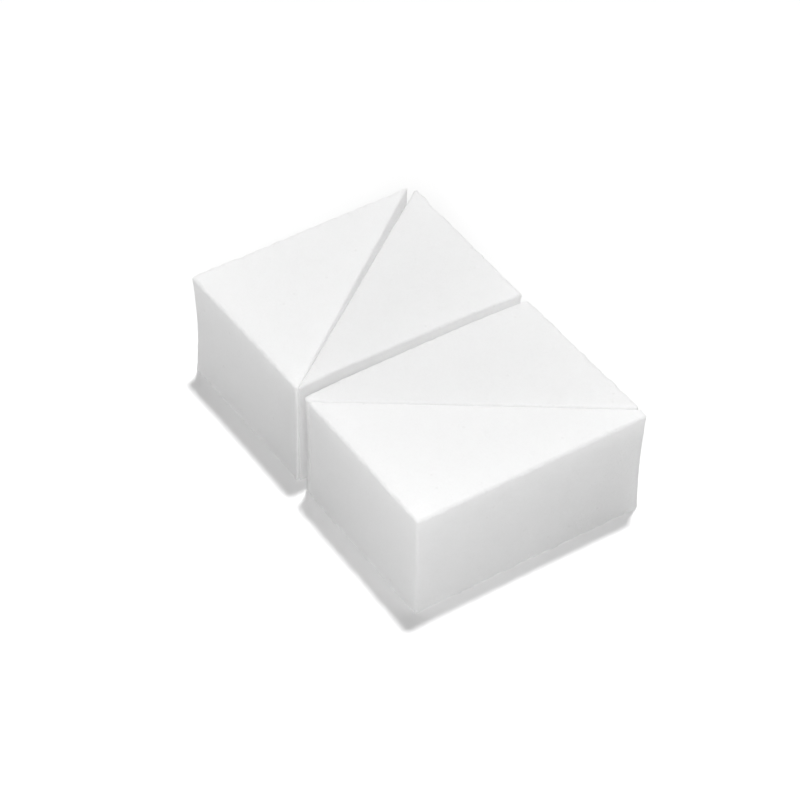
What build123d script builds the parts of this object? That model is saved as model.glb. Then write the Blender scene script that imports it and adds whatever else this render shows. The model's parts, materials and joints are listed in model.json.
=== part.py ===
from build123d import *
from math import hypot
import os

# Four loose wedges of soft white foam, lying as two rectangular blocks side by side.
# Each block is cut in two along its diagonal, from its inner front corner to its outer rear one,
# so a wedge is a right-angled triangular prism. The right block's cut misses both corners by a
# little, which leaves a narrow blunt end on each of its wedges.
# Millimetres, +Z up. X runs across the two blocks and Y along their long sides, with the front
# at -Y. The origin is the centre of the set's base.

# Driving dimensions
block_width = 37.5  # short side of a block, along X
block_length = 50.0  # long side of a block, along Y
foam_thickness = 24.0  # sheet that the blocks are cut from
corner_radius = 0.3  # upright edges
rim_radius = 0.25  # edges of the top and bottom faces

# Where each cut meets the block's front edge, measured from the inner corner, and its rear edge,
# measured from the outer corner
left_cut_insets = (0.0, 0.0)
right_cut_insets = (1.2, 2.1)

# How the wedges lie
block_gap = 2.5  # between the blocks, at the front
cut_clearance = 0.2  # between the two cut faces of a closed pair
# Turns in degrees about the block's inner front corner, anticlockwise seen from above
left_front_turn = 0.9
left_rear_turn = -0.5
right_front_turn = 0.1
right_rear_turn = 0.3


def wedge_corners(near_inset, far_inset):
    """Plan corners from the right angle, with X along the short leg and Y along the long one."""
    cut_length = hypot(block_width - near_inset - far_inset, block_length)
    half_clearance = cut_clearance / 2 * cut_length / block_length  # measured along the short leg
    short_leg = block_width - near_inset - half_clearance
    blunt_end = far_inset - half_clearance
    if blunt_end > 0:
        return [(0, 0), (short_leg, 0), (blunt_end, block_length), (0, block_length)]
    long_leg = block_length * short_leg / (short_leg - blunt_end)
    return [(0, 0), (short_leg, 0), (0, long_leg)]


def foam_wedge(side, at_rear, turn):
    """One wedge, with side -1 for the left block and 1 for the right block."""
    front_inset, rear_inset = left_cut_insets if side < 0 else right_cut_insets
    pivot = Vector(side * block_gap / 2, -block_length / 2)
    # The right angle is at the outer front corner, or half a turn round at the inner rear one.
    if at_rear:
        to_corner, along_width = Vector(0, block_length), Vector(-1, 0)
        corners = wedge_corners(rear_inset, front_inset)
    else:
        to_corner, along_width = Vector(side * block_width, 0), Vector(1, 0)
        corners = wedge_corners(front_inset, rear_inset)
    corner = Plane(
        origin=pivot + to_corner.rotate(Axis.Z, turn),
        x_dir=along_width.rotate(Axis.Z, turn),
        z_dir=(0, 0, 1),
    )
    with BuildPart() as wedge:
        with BuildSketch(corner) as outline:
            with BuildLine():
                Polyline([(-side * x, y) for x, y in corners], close=True)
            make_face()
            fillet(outline.vertices(), corner_radius)
        extrude(amount=foam_thickness)
        rims = wedge.faces().filter_by(Axis.Z).edges()
        fillet(rims, rim_radius)
    return wedge.part


wedges = {
    "left_front_wedge": foam_wedge(side=-1, at_rear=False, turn=left_front_turn),
    "left_rear_wedge": foam_wedge(side=-1, at_rear=True, turn=left_rear_turn),
    "right_front_wedge": foam_wedge(side=1, at_rear=False, turn=right_front_turn),
    "right_rear_wedge": foam_wedge(side=1, at_rear=True, turn=right_rear_turn),
}

# The turns move the outline a little, so the set is brought back over the origin.
middle = Compound(list(wedges.values())).bounding_box().center()

os.makedirs("parts", exist_ok=True)
for node, wedge in wedges.items():
    centred = Pos(-middle.X, -middle.Y) * wedge
    centred.label = node
    export_step(centred, f"parts/{node}.step")
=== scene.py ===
import json
import math
from collections import namedtuple

import bmesh
import bpy
import numpy as np
from mathutils import Matrix, Vector, noise

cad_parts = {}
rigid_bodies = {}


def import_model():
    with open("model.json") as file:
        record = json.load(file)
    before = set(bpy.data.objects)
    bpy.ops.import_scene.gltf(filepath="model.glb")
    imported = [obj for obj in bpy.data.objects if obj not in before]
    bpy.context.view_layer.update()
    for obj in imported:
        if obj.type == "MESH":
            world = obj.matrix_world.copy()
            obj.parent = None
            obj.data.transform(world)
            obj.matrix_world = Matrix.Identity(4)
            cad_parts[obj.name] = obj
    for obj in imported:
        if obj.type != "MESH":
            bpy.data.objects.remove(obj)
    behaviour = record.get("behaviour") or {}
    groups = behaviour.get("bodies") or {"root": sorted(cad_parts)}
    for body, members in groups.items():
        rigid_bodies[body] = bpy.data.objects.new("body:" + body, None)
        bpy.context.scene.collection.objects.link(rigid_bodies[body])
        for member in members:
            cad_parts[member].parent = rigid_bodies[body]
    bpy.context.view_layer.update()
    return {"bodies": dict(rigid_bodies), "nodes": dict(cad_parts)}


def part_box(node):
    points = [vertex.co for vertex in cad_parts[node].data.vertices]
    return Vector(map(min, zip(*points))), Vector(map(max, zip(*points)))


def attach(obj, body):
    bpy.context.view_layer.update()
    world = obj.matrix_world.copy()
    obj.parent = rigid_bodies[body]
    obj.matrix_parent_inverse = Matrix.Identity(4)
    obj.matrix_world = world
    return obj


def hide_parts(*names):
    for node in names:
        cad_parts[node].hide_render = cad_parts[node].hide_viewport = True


# Four loose wedges of soft white foam. Lengths in this file are in millimetres, as in the CAD
# model, and MM turns them into Blender's metres.
MM = 0.001

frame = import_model()

# An upright face of a wedge: the direction it looks in, how far it lies from the origin along
# that direction, and its kind. The outer faces are on the outside of the set, an inner one looks
# at the other block across the gap, and the cut is the diagonal that splits a block.
Face = namedtuple("Face", "angle distance kind")

# Form of a wedge
PROUD = {"outer": 0.04, "inner": 0.04, "cut": 0.07}  # how far the foam stands out of the CAD face
GAP_BOW = 0.55  # how far both faces along the gap bow towards -X, in plan
TOP_RIM = {"outer": 0.5, "inner": 0.22, "cut": 0.12}  # rounding along the top edge
BASE_RIM = 0.3  # most rounding along the bottom edge
WAIST = {"outer": 0.42, "inner": 0.3, "cut": 0.04}  # how far the face pulls in at half height
# Degrees that the outline turns at a square corner and at the two tips, and the rounding of the
# upright edge at each of them. A corner that turns less is rounded like a square one.
TURNS = (90, 127, 143)
CORNER_RADII = (0.45, 0.35, 0.15)
TIP_REACH = 5.0  # rims and waist fade over this distance from a tip
TIP_SHARE = 0.3  # to this share of their size
RISE = 0.35  # how far the middle of the top stands over the CAD's top
CROWN = 0.38  # how far the top falls away towards its rim
CROWN_REACH = 2.2  # and over about this distance from the rim
CAP_RINGS = 14  # rings of vertices across the top, and as many across the base
CAP_MIDDLE = 0.97  # the innermost of them, as a share of the way from the rim to the middle
RIM_RINGS = 8
SIDE_RINGS = 28
VOXEL = 0.27  # edge length of the finished mesh
CORNER_FACET = 8.0  # an upright CAD face of less area is a facet of a rounded corner

# Surface of the foam, as vertex moves. A wavelength is the size of the bumps.
UNEVEN, UNEVEN_WAVELENGTH = 0.05, 11
GRAIN, GRAIN_WAVELENGTH = 0.02, 1.1
RAGGED = {"outer": 0.2, "inner": 0.1, "cut": 0.04}  # along the rims
RAGGED_WAVELENGTHS = (2.2, 0.9)
RAGGED_REACH = 0.9
PITS_PER_WEDGE = 30
PIT_RADII = (0.35, 0.7)
PIT_DEPTHS = (0.06, 0.16)

# Material of the foam
CELL_SIZE = 0.5
PORE_SPACING = 4.5
MOTTLE_SIZE = 3.5
RELIEF = 0.08  # depth of the bump texture
SCATTER = 1.8  # how far light spreads below the surface
SEE_THROUGH = 0.36  # share of the light that soaks through the surface

# Lighting, as shares of full light on a level surface
SUN_LEVEL = 0.75
KEY_LEVEL = 0.23
DOME_LEVEL = 0.12

# What the floor does with light, as shares of full white
FLOOR_BOUNCE = 0.3  # what it sends back to the wedges of the light that falls on it
FLOOR_GLOW = 0.37  # what it gives them by itself, which their shadow doesn't dim
FAR_GLOW = 0.17  # what it adds, far from the set, to what is seen


def upright_faces(node):
    """The flat upright faces of a CAD wedge, anticlockwise in plan."""
    found = {}
    for face in frame["nodes"][node].data.polygons:
        if abs(face.normal.z) < 0.01:
            angle = round(math.degrees(math.atan2(face.normal.y, face.normal.x)), 1)
            found.setdefault(angle, []).append(face)
    areas = {angle: sum(face.area for face in faces) / MM**2 for angle, faces in found.items()}
    low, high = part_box(node)
    side = math.copysign(1, low.x + high.x)
    upright = []
    for angle, faces in found.items():
        if areas[angle] < CORNER_FACET:
            continue
        normal = faces[0].normal.to_2d().normalized()
        if areas[angle] == max(areas.values()):
            kind = "cut"
        elif normal.x * side < -0.99:
            kind = "inner"
        else:
            kind = "outer"
        distance = normal.dot(faces[0].center.to_2d()) / MM + PROUD[kind]
        upright.append(Face(math.atan2(normal.y, normal.x), distance, kind))
    return sorted(upright)


def normals_of(faces):
    return np.array([(math.cos(face.angle), math.sin(face.angle)) for face in faces])


def neighbours(faces):
    """Each face with the next one round the wedge, which it meets at a corner."""
    return list(zip(faces, faces[1:] + faces[:1]))


def meeting_point(faces, inset=0.0):
    """Where two faces meet in plan, or would meet if each were moved in by the inset."""
    return np.linalg.solve(normals_of(faces), [face.distance - inset for face in faces])


def incircle(faces):
    """Centre and radius of the circle that touches the wedge's three long faces in plan."""
    corners = [meeting_point(pair) for pair in neighbours(faces)]
    lengths = [np.linalg.norm(corners[i] - corners[i - 1]) for i in range(len(faces))]
    longest = [faces[i] for i in sorted(np.argsort(lengths)[-3:])]
    equations = np.column_stack([normals_of(longest), np.ones(3)])
    x, y, radius = np.linalg.solve(equations, [face.distance for face in longest])
    return np.array([x, y]), radius


def foam_outline(faces, centre, inner, step=0.7, arc_points=9):
    """Plan outline, anticlockwise, with the top rim and the waist at each point."""
    share = np.linspace(0, 1, arc_points)
    arcs, rims, waists, tips = [], [], [], []
    for pair in neighbours(faces):
        turn = (pair[1].angle - pair[0].angle) % (2 * math.pi)
        radius = np.interp(math.degrees(turn), TURNS, CORNER_RADII)
        angle = pair[0].angle + turn * share
        arc = np.stack([np.cos(angle), np.sin(angle)], axis=1)
        arcs.append(meeting_point(pair, radius) + radius * arc)
        rims.append(np.interp(share, (0, 1), [TOP_RIM[face.kind] for face in pair]))
        waists.append(np.interp(share, (0, 1), [WAIST[face.kind] for face in pair]))
        corner = meeting_point(pair)
        # A square corner is 1.4 times the incircle's radius from its centre, and a tip is further
        if np.linalg.norm(corner - centre) > 2 * inner:
            tips.append(corner)
    points, rim, waist = [], [], []
    for i, (_, after) in enumerate(neighbours(faces)):
        run = arcs[(i + 1) % len(arcs)][0] - arcs[i][-1]
        count = max(2, int(np.linalg.norm(run) / step))
        between = np.arange(1, count)[:, None] / count
        side = arcs[i][-1] + run * between
        if after.kind == "inner":
            # Nearly the whole bow over most of the face, and none at its ends
            side[:, 0] -= GAP_BOW * (1 - (2 * between[:, 0] - 1) ** 4)
        points += [arcs[i], side]
        rim += [rims[i], np.full(count - 1, TOP_RIM[after.kind])]
        waist += [waists[i], np.full(count - 1, WAIST[after.kind])]
    points = np.concatenate(points)
    from_tip = np.min([np.linalg.norm(points - tip, axis=1) for tip in tips], axis=0)
    near = np.clip(from_tip / TIP_REACH, 0, 1)
    fade = TIP_SHARE + (1 - TIP_SHARE) * near * near * (3 - 2 * near)
    return points, np.concatenate(rim) * fade, np.concatenate(waist) * fade


def foam_profile(rim, waist, height, inner):
    """Inset and height of each ring, from the middle of the base to the middle of the top."""

    def cap(rounding):
        """Inset and drop of the rings across the base or the top, ending with the rounded rim."""
        rows = []
        for share in np.linspace(CAP_MIDDLE, 0, CAP_RINGS, endpoint=False):
            rows.append((rounding + (inner - rounding) * share, np.zeros_like(rounding)))
        for turn in np.radians(np.linspace(0, 90, RIM_RINGS)):
            rows.append((rounding * (1 - math.sin(turn)), rounding * (1 - math.cos(turn))))
        return rows

    lower = cap(np.minimum(rim, BASE_RIM))
    top = height + RISE
    upper = [(inset, top - drop - CROWN * np.exp(-inset / CROWN_REACH)) for inset, drop in cap(rim)]
    foot, head = lower[-1][1], upper[-1][1]
    side = []
    for share in np.linspace(0, 1, SIDE_RINGS + 2)[1:-1]:
        pull = waist * math.sin(math.pi * share) ** 0.8
        side.append((pull, foot + (head - foot) * share))
    return lower + side + upper[::-1]


def foam_blank(name, faces, height):
    """The wedge's smooth form, remeshed so that its faces are all about one size."""
    centre, inner = incircle(faces)
    outline, rim, waist = foam_outline(faces, centre, inner)
    made = bmesh.new()
    rings = []
    for inset, z in foam_profile(rim, waist, height, inner):
        plan = centre + (outline - centre) * (1 - inset / inner)[:, None]
        rings.append([made.verts.new((x * MM, y * MM, h * MM)) for (x, y), h in zip(plan, z)])
    for low, high in zip(rings, rings[1:]):
        for i, corner in enumerate(low):
            made.faces.new((low[i - 1], corner, high[i], high[i - 1]))
    made.faces.new(rings[0][::-1])
    made.faces.new(rings[-1])
    bmesh.ops.recalc_face_normals(made, faces=made.faces)
    mesh = bpy.data.meshes.new(name)
    made.to_mesh(mesh)
    made.free()
    piece = bpy.data.objects.new(name, mesh)
    bpy.context.scene.collection.objects.link(piece)
    remesh = piece.modifiers.new("even_faces", "REMESH")
    remesh.mode = "VOXEL"
    remesh.voxel_size = VOXEL * MM
    remesh.use_smooth_shade = True
    evaluated = piece.evaluated_get(bpy.context.evaluated_depsgraph_get())
    piece.data = bpy.data.meshes.new_from_object(evaluated)
    piece.modifiers.clear()
    piece.data.name = name
    return piece


def noise_at(points, wavelength, offset):
    """Smooth noise from about -1 to 1 at each point."""
    return np.array([noise.noise(Vector(p) / wavelength + offset) for p in points])


def weather(piece, faces, height, seed):
    """Moves the vertices by the foam's own unevenness, ragged rims, grain and burst bubbles."""
    mesh = piece.data
    count = len(mesh.vertices)
    place = np.zeros(count * 3)
    mesh.vertices.foreach_get("co", place)
    place = place.reshape(-1, 3) / MM
    outward = np.zeros(count * 3, np.float32)
    mesh.vertex_normals.foreach_get("vector", outward)
    outward = outward.reshape(-1, 3).astype(float)
    draw = np.random.default_rng(seed)
    offset = Vector(draw.uniform(-50, 50, 3))  # so that each wedge has noise of its own

    depths = np.array([face.distance for face in faces]) - place[:, :2] @ normals_of(faces).T
    to_cap = np.minimum(place[:, 2], height - place[:, 2])
    near_rim = np.exp(-((np.hypot(depths.min(1), to_cap) / RAGGED_REACH) ** 2))
    ragged = np.array([RAGGED[face.kind] for face in faces])[depths.argmin(1)]

    coarse, fine = (noise_at(place, size, offset) for size in RAGGED_WAVELENGTHS)
    move = UNEVEN * noise_at(place, UNEVEN_WAVELENGTH, offset)
    move += GRAIN * noise_at(place, GRAIN_WAVELENGTH, offset)
    move += ragged * near_rim * (coarse + 0.7 * fine)
    for _ in range(PITS_PER_WEDGE):
        centre = place[draw.integers(count)]
        radius = draw.uniform(*PIT_RADII)
        away = np.linalg.norm(place - centre, axis=1) / radius
        move -= draw.uniform(*PIT_DEPTHS) * np.clip(1 - away**2, 0, 1) ** 2
    place += outward * move[:, None]
    place[:, 2] = np.maximum(place[:, 2], 0)
    mesh.vertices.foreach_set("co", (place * MM).ravel())
    mesh.update()


def foam_material():
    """Soft white foam: fine open cells and scattered larger pores, both painted darker as shade,
    matt and translucent.
    """
    material = bpy.data.materials.new("white_foam")
    material.use_nodes = True
    nodes, links = material.node_tree.nodes, material.node_tree.links
    shader = nodes["Principled BSDF"]
    shader.inputs["Roughness"].default_value = 0.95
    shader.inputs["Specular IOR Level"].default_value = 0.05
    shader.inputs["Subsurface Weight"].default_value = 0.8
    shader.inputs["Subsurface Radius"].default_value = (1.0, 1.0, 1.0)
    shader.inputs["Subsurface Scale"].default_value = SCATTER * MM

    place = nodes.new("ShaderNodeTexCoord").outputs["Object"]

    def texture(kind, size, **settings):
        node = nodes.new(kind)
        node.inputs["Scale"].default_value = 1 / (size * MM)
        for key, setting in settings.items():
            node.inputs[key].default_value = setting
        links.new(place, node.inputs["Vector"])
        return node

    def ramp(source, given, wanted):
        """Maps one range of values to another, and keeps to its ends."""
        node = nodes.new("ShaderNodeMapRange")
        links.new(source, node.inputs["Value"])
        node.inputs["From Min"].default_value, node.inputs["From Max"].default_value = given
        node.inputs["To Min"].default_value, node.inputs["To Max"].default_value = wanted
        return node.outputs["Result"]

    def combine(operation, first, second):
        node = nodes.new("ShaderNodeMath")
        node.operation = operation
        for socket, source in zip(node.inputs, (first, second)):
            if isinstance(source, float):
                socket.default_value = source
            else:
                links.new(source, socket)
        return node.outputs["Value"]

    cells = texture("ShaderNodeTexVoronoi", CELL_SIZE)
    pores = texture("ShaderNodeTexVoronoi", PORE_SPACING)
    mottle = texture("ShaderNodeTexNoise", MOTTLE_SIZE, Detail=4.0)
    fine = texture("ShaderNodeTexNoise", CELL_SIZE, Detail=3.0)

    cell_dip = ramp(cells.outputs["Distance"], given=(0, 0.5), wanted=(0, 1))
    pore_dip = ramp(pores.outputs["Distance"], given=(0.04, 0.09), wanted=(0, 1))
    # Random mottle, times painted shade: the colour darkens in the dips of the cells and, more,
    # inside the pores
    mottle_and_painted_shade = ramp(mottle.outputs["Fac"], given=(0.3, 0.7), wanted=(0.98, 1))
    mottle_and_painted_shade = combine("MULTIPLY", mottle_and_painted_shade, ramp(cell_dip, given=(0, 1), wanted=(0.97, 1)))
    mottle_and_painted_shade = combine("MULTIPLY", mottle_and_painted_shade, ramp(pore_dip, given=(0, 1), wanted=(0.93, 1)))
    colour_with_painted_shade = nodes.new("ShaderNodeMix")
    colour_with_painted_shade.data_type = "RGBA"
    colour_with_painted_shade.blend_type = "MULTIPLY"
    colour_with_painted_shade.inputs["Factor"].default_value = 1.0
    colour_with_painted_shade.inputs["A"].default_value = (0.98, 0.98, 0.98, 1)
    links.new(mottle_and_painted_shade, colour_with_painted_shade.inputs["B"])
    links.new(colour_with_painted_shade.outputs["Result"], shader.inputs["Base Color"])

    height = combine("ADD", cell_dip, fine.outputs["Fac"])
    height = combine("ADD", height, combine("MULTIPLY", pore_dip, 1.5))
    bump = nodes.new("ShaderNodeBump")
    bump.inputs["Strength"].default_value = 0.35
    bump.inputs["Distance"].default_value = RELIEF * MM
    links.new(height, bump.inputs["Height"])
    links.new(bump.outputs["Normal"], shader.inputs["Normal"])

    # Light that soaks through the foam and comes out of its other faces
    through = nodes.new("ShaderNodeBsdfTranslucent")
    through.inputs["Color"].default_value = (0.97, 0.97, 0.97, 1)
    body = nodes.new("ShaderNodeMixShader")
    body.inputs[0].default_value = SEE_THROUGH
    links.new(shader.outputs[0], body.inputs[1])
    links.new(through.outputs[0], body.inputs[2])
    links.new(body.outputs[0], nodes["Material Output"].inputs["Surface"])
    return material


def add_wedges():
    material = foam_material()
    for seed, body in enumerate(frame["bodies"]):
        node = body + "_wedge"
        faces = upright_faces(node)
        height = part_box(node)[1].z / MM
        piece = foam_blank(body + "_foam", faces, height)
        weather(piece, faces, height, seed)
        piece.data.materials.append(material)
        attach(piece, body)
        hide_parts(node)


def direction(azimuth, elevation):
    """Unit vector at an angle round from -Y towards +X and an angle above the floor, in degrees."""
    azimuth, elevation = np.radians([azimuth, elevation])
    level = math.cos(elevation)
    return Vector((math.sin(azimuth) * level, -math.cos(azimuth) * level, math.sin(elevation)))


def add_camera():
    """A long lens that looks down at the set from its front right."""
    azimuth, elevation, roll = 56.23, 43.44, math.radians(1.01)
    distance, aim_right, aim_up = 527.1 * MM, -2.13 * MM, 6.82 * MM
    away = direction(azimuth, elevation)
    level = direction(azimuth + 90, 0)
    above = away.cross(level)
    right = level * math.cos(roll) + above * math.sin(roll)
    up = above * math.cos(roll) - level * math.sin(roll)
    camera = bpy.data.objects.new("camera", bpy.data.cameras.new("camera"))
    bpy.context.scene.collection.objects.link(camera)
    camera.data.lens = 123.35
    camera.data.sensor_width = 36
    camera.data.clip_start = 0.01
    aim = right * aim_right + up * aim_up
    facing = Matrix((right, up, away)).transposed().to_4x4()
    camera.matrix_world = Matrix.Translation(aim + away * distance) @ facing
    bpy.context.scene.camera = camera


def add_lights():
    """A high sun that throws the shadow towards the camera, and a key lamp beside the camera."""
    sun = bpy.data.objects.new("sun", bpy.data.lights.new("sun", "SUN"))
    sun.data.energy = SUN_LEVEL * math.pi
    sun.data.angle = math.radians(5)
    towards = Vector((-3.0, 4.0, 24))
    sun.rotation_euler = towards.to_track_quat("Z", "Y").to_euler()
    bpy.context.scene.collection.objects.link(sun)

    key = bpy.data.objects.new("key", bpy.data.lights.new("key", "AREA"))
    key.data.shape = "DISK"
    key.data.size = 0.13
    elevation, distance = 44, 0.45  # degrees and metres
    place = direction(54, elevation) * distance
    key.location = place
    key.rotation_euler = place.to_track_quat("Z", "Y").to_euler()
    # The power at which a level surface at the origin gets the key's share of full light
    slant = math.sin(math.radians(elevation))
    key.data.energy = KEY_LEVEL * math.pi**2 * distance**2 / slant
    bpy.context.scene.collection.objects.link(key)


def seen_or_lighting(nodes, links, seen, lighting):
    """One shader where the camera looks, straight or by mirror or glass, and one for the rest."""
    path = nodes.new("ShaderNodeLightPath")
    looks = path.outputs["Is Camera Ray"]
    for ray in ("Is Glossy Ray", "Is Transmission Ray"):
        either = nodes.new("ShaderNodeMath")
        either.operation = "MAXIMUM"
        links.new(looks, either.inputs[0])
        links.new(path.outputs[ray], either.inputs[1])
        looks = either.outputs[0]
    mix = nodes.new("ShaderNodeMixShader")
    links.new(looks, mix.inputs[0])
    links.new(lighting, mix.inputs[1])
    links.new(seen, mix.inputs[2])
    return mix.outputs[0]


def add_world():
    """A white backdrop, and a dimmer dome of the same white that lights the wedges."""
    world = bpy.data.worlds.new("studio")
    bpy.context.scene.world = world
    world.use_nodes = True
    nodes, links = world.node_tree.nodes, world.node_tree.links
    dome, white = nodes["Background"], nodes.new("ShaderNodeBackground")
    for background, strength in ((dome, DOME_LEVEL), (white, 1.0)):
        background.inputs["Color"].default_value = (1, 1, 1, 1)
        background.inputs["Strength"].default_value = strength
    surface = seen_or_lighting(nodes, links, seen=white.outputs[0], lighting=dome.outputs[0])
    links.new(surface, nodes["World Output"].inputs["Surface"])


def floor_material():
    """A white floor that shows the shadow, and lights the wedges from below more evenly."""
    material = bpy.data.materials.new("floor")
    material.use_nodes = True
    nodes, links = material.node_tree.nodes, material.node_tree.links
    nodes.remove(nodes["Principled BSDF"])

    def diffuse_and_glow(level):
        """A diffuse surface with a white glow, and the socket for the strength of the glow."""
        diffuse = nodes.new("ShaderNodeBsdfDiffuse")
        diffuse.inputs["Color"].default_value = (level, level, level, 1)
        glow = nodes.new("ShaderNodeEmission")
        glow.inputs["Color"].default_value = (1, 1, 1, 1)
        both = nodes.new("ShaderNodeAddShader")
        links.new(diffuse.outputs[0], both.inputs[0])
        links.new(glow.outputs[0], both.inputs[1])
        return both.outputs[0], glow.inputs["Strength"]

    lighting, strength = diffuse_and_glow(FLOOR_BOUNCE)
    strength.default_value = FLOOR_GLOW

    # The key lamp fades with distance, so what is seen glows more the further it is from the set
    seen, strength = diffuse_and_glow(1.0)
    reach = nodes.new("ShaderNodeVectorMath")
    reach.operation = "LENGTH"
    links.new(nodes.new("ShaderNodeTexCoord").outputs["Object"], reach.inputs[0])
    grows = nodes.new("ShaderNodeMapRange")
    grows.inputs["From Min"].default_value = 0.08
    grows.inputs["From Max"].default_value = 0.4
    grows.inputs["To Max"].default_value = FAR_GLOW
    links.new(reach.outputs["Value"], grows.inputs["Value"])
    links.new(grows.outputs["Result"], strength)

    surface = seen_or_lighting(nodes, links, seen=seen, lighting=lighting)
    links.new(surface, nodes["Material Output"].inputs["Surface"])
    return material


def add_floor():
    made = bmesh.new()
    bmesh.ops.create_grid(made, x_segments=4, y_segments=4, size=3)
    mesh = bpy.data.meshes.new("floor")
    made.to_mesh(mesh)
    made.free()
    mesh.materials.append(floor_material())
    floor = bpy.data.objects.new("floor", mesh)
    bpy.context.scene.collection.objects.link(floor)


add_wedges()
add_camera()
add_lights()
add_world()
add_floor()
bpy.context.scene.view_settings.view_transform = "Standard"
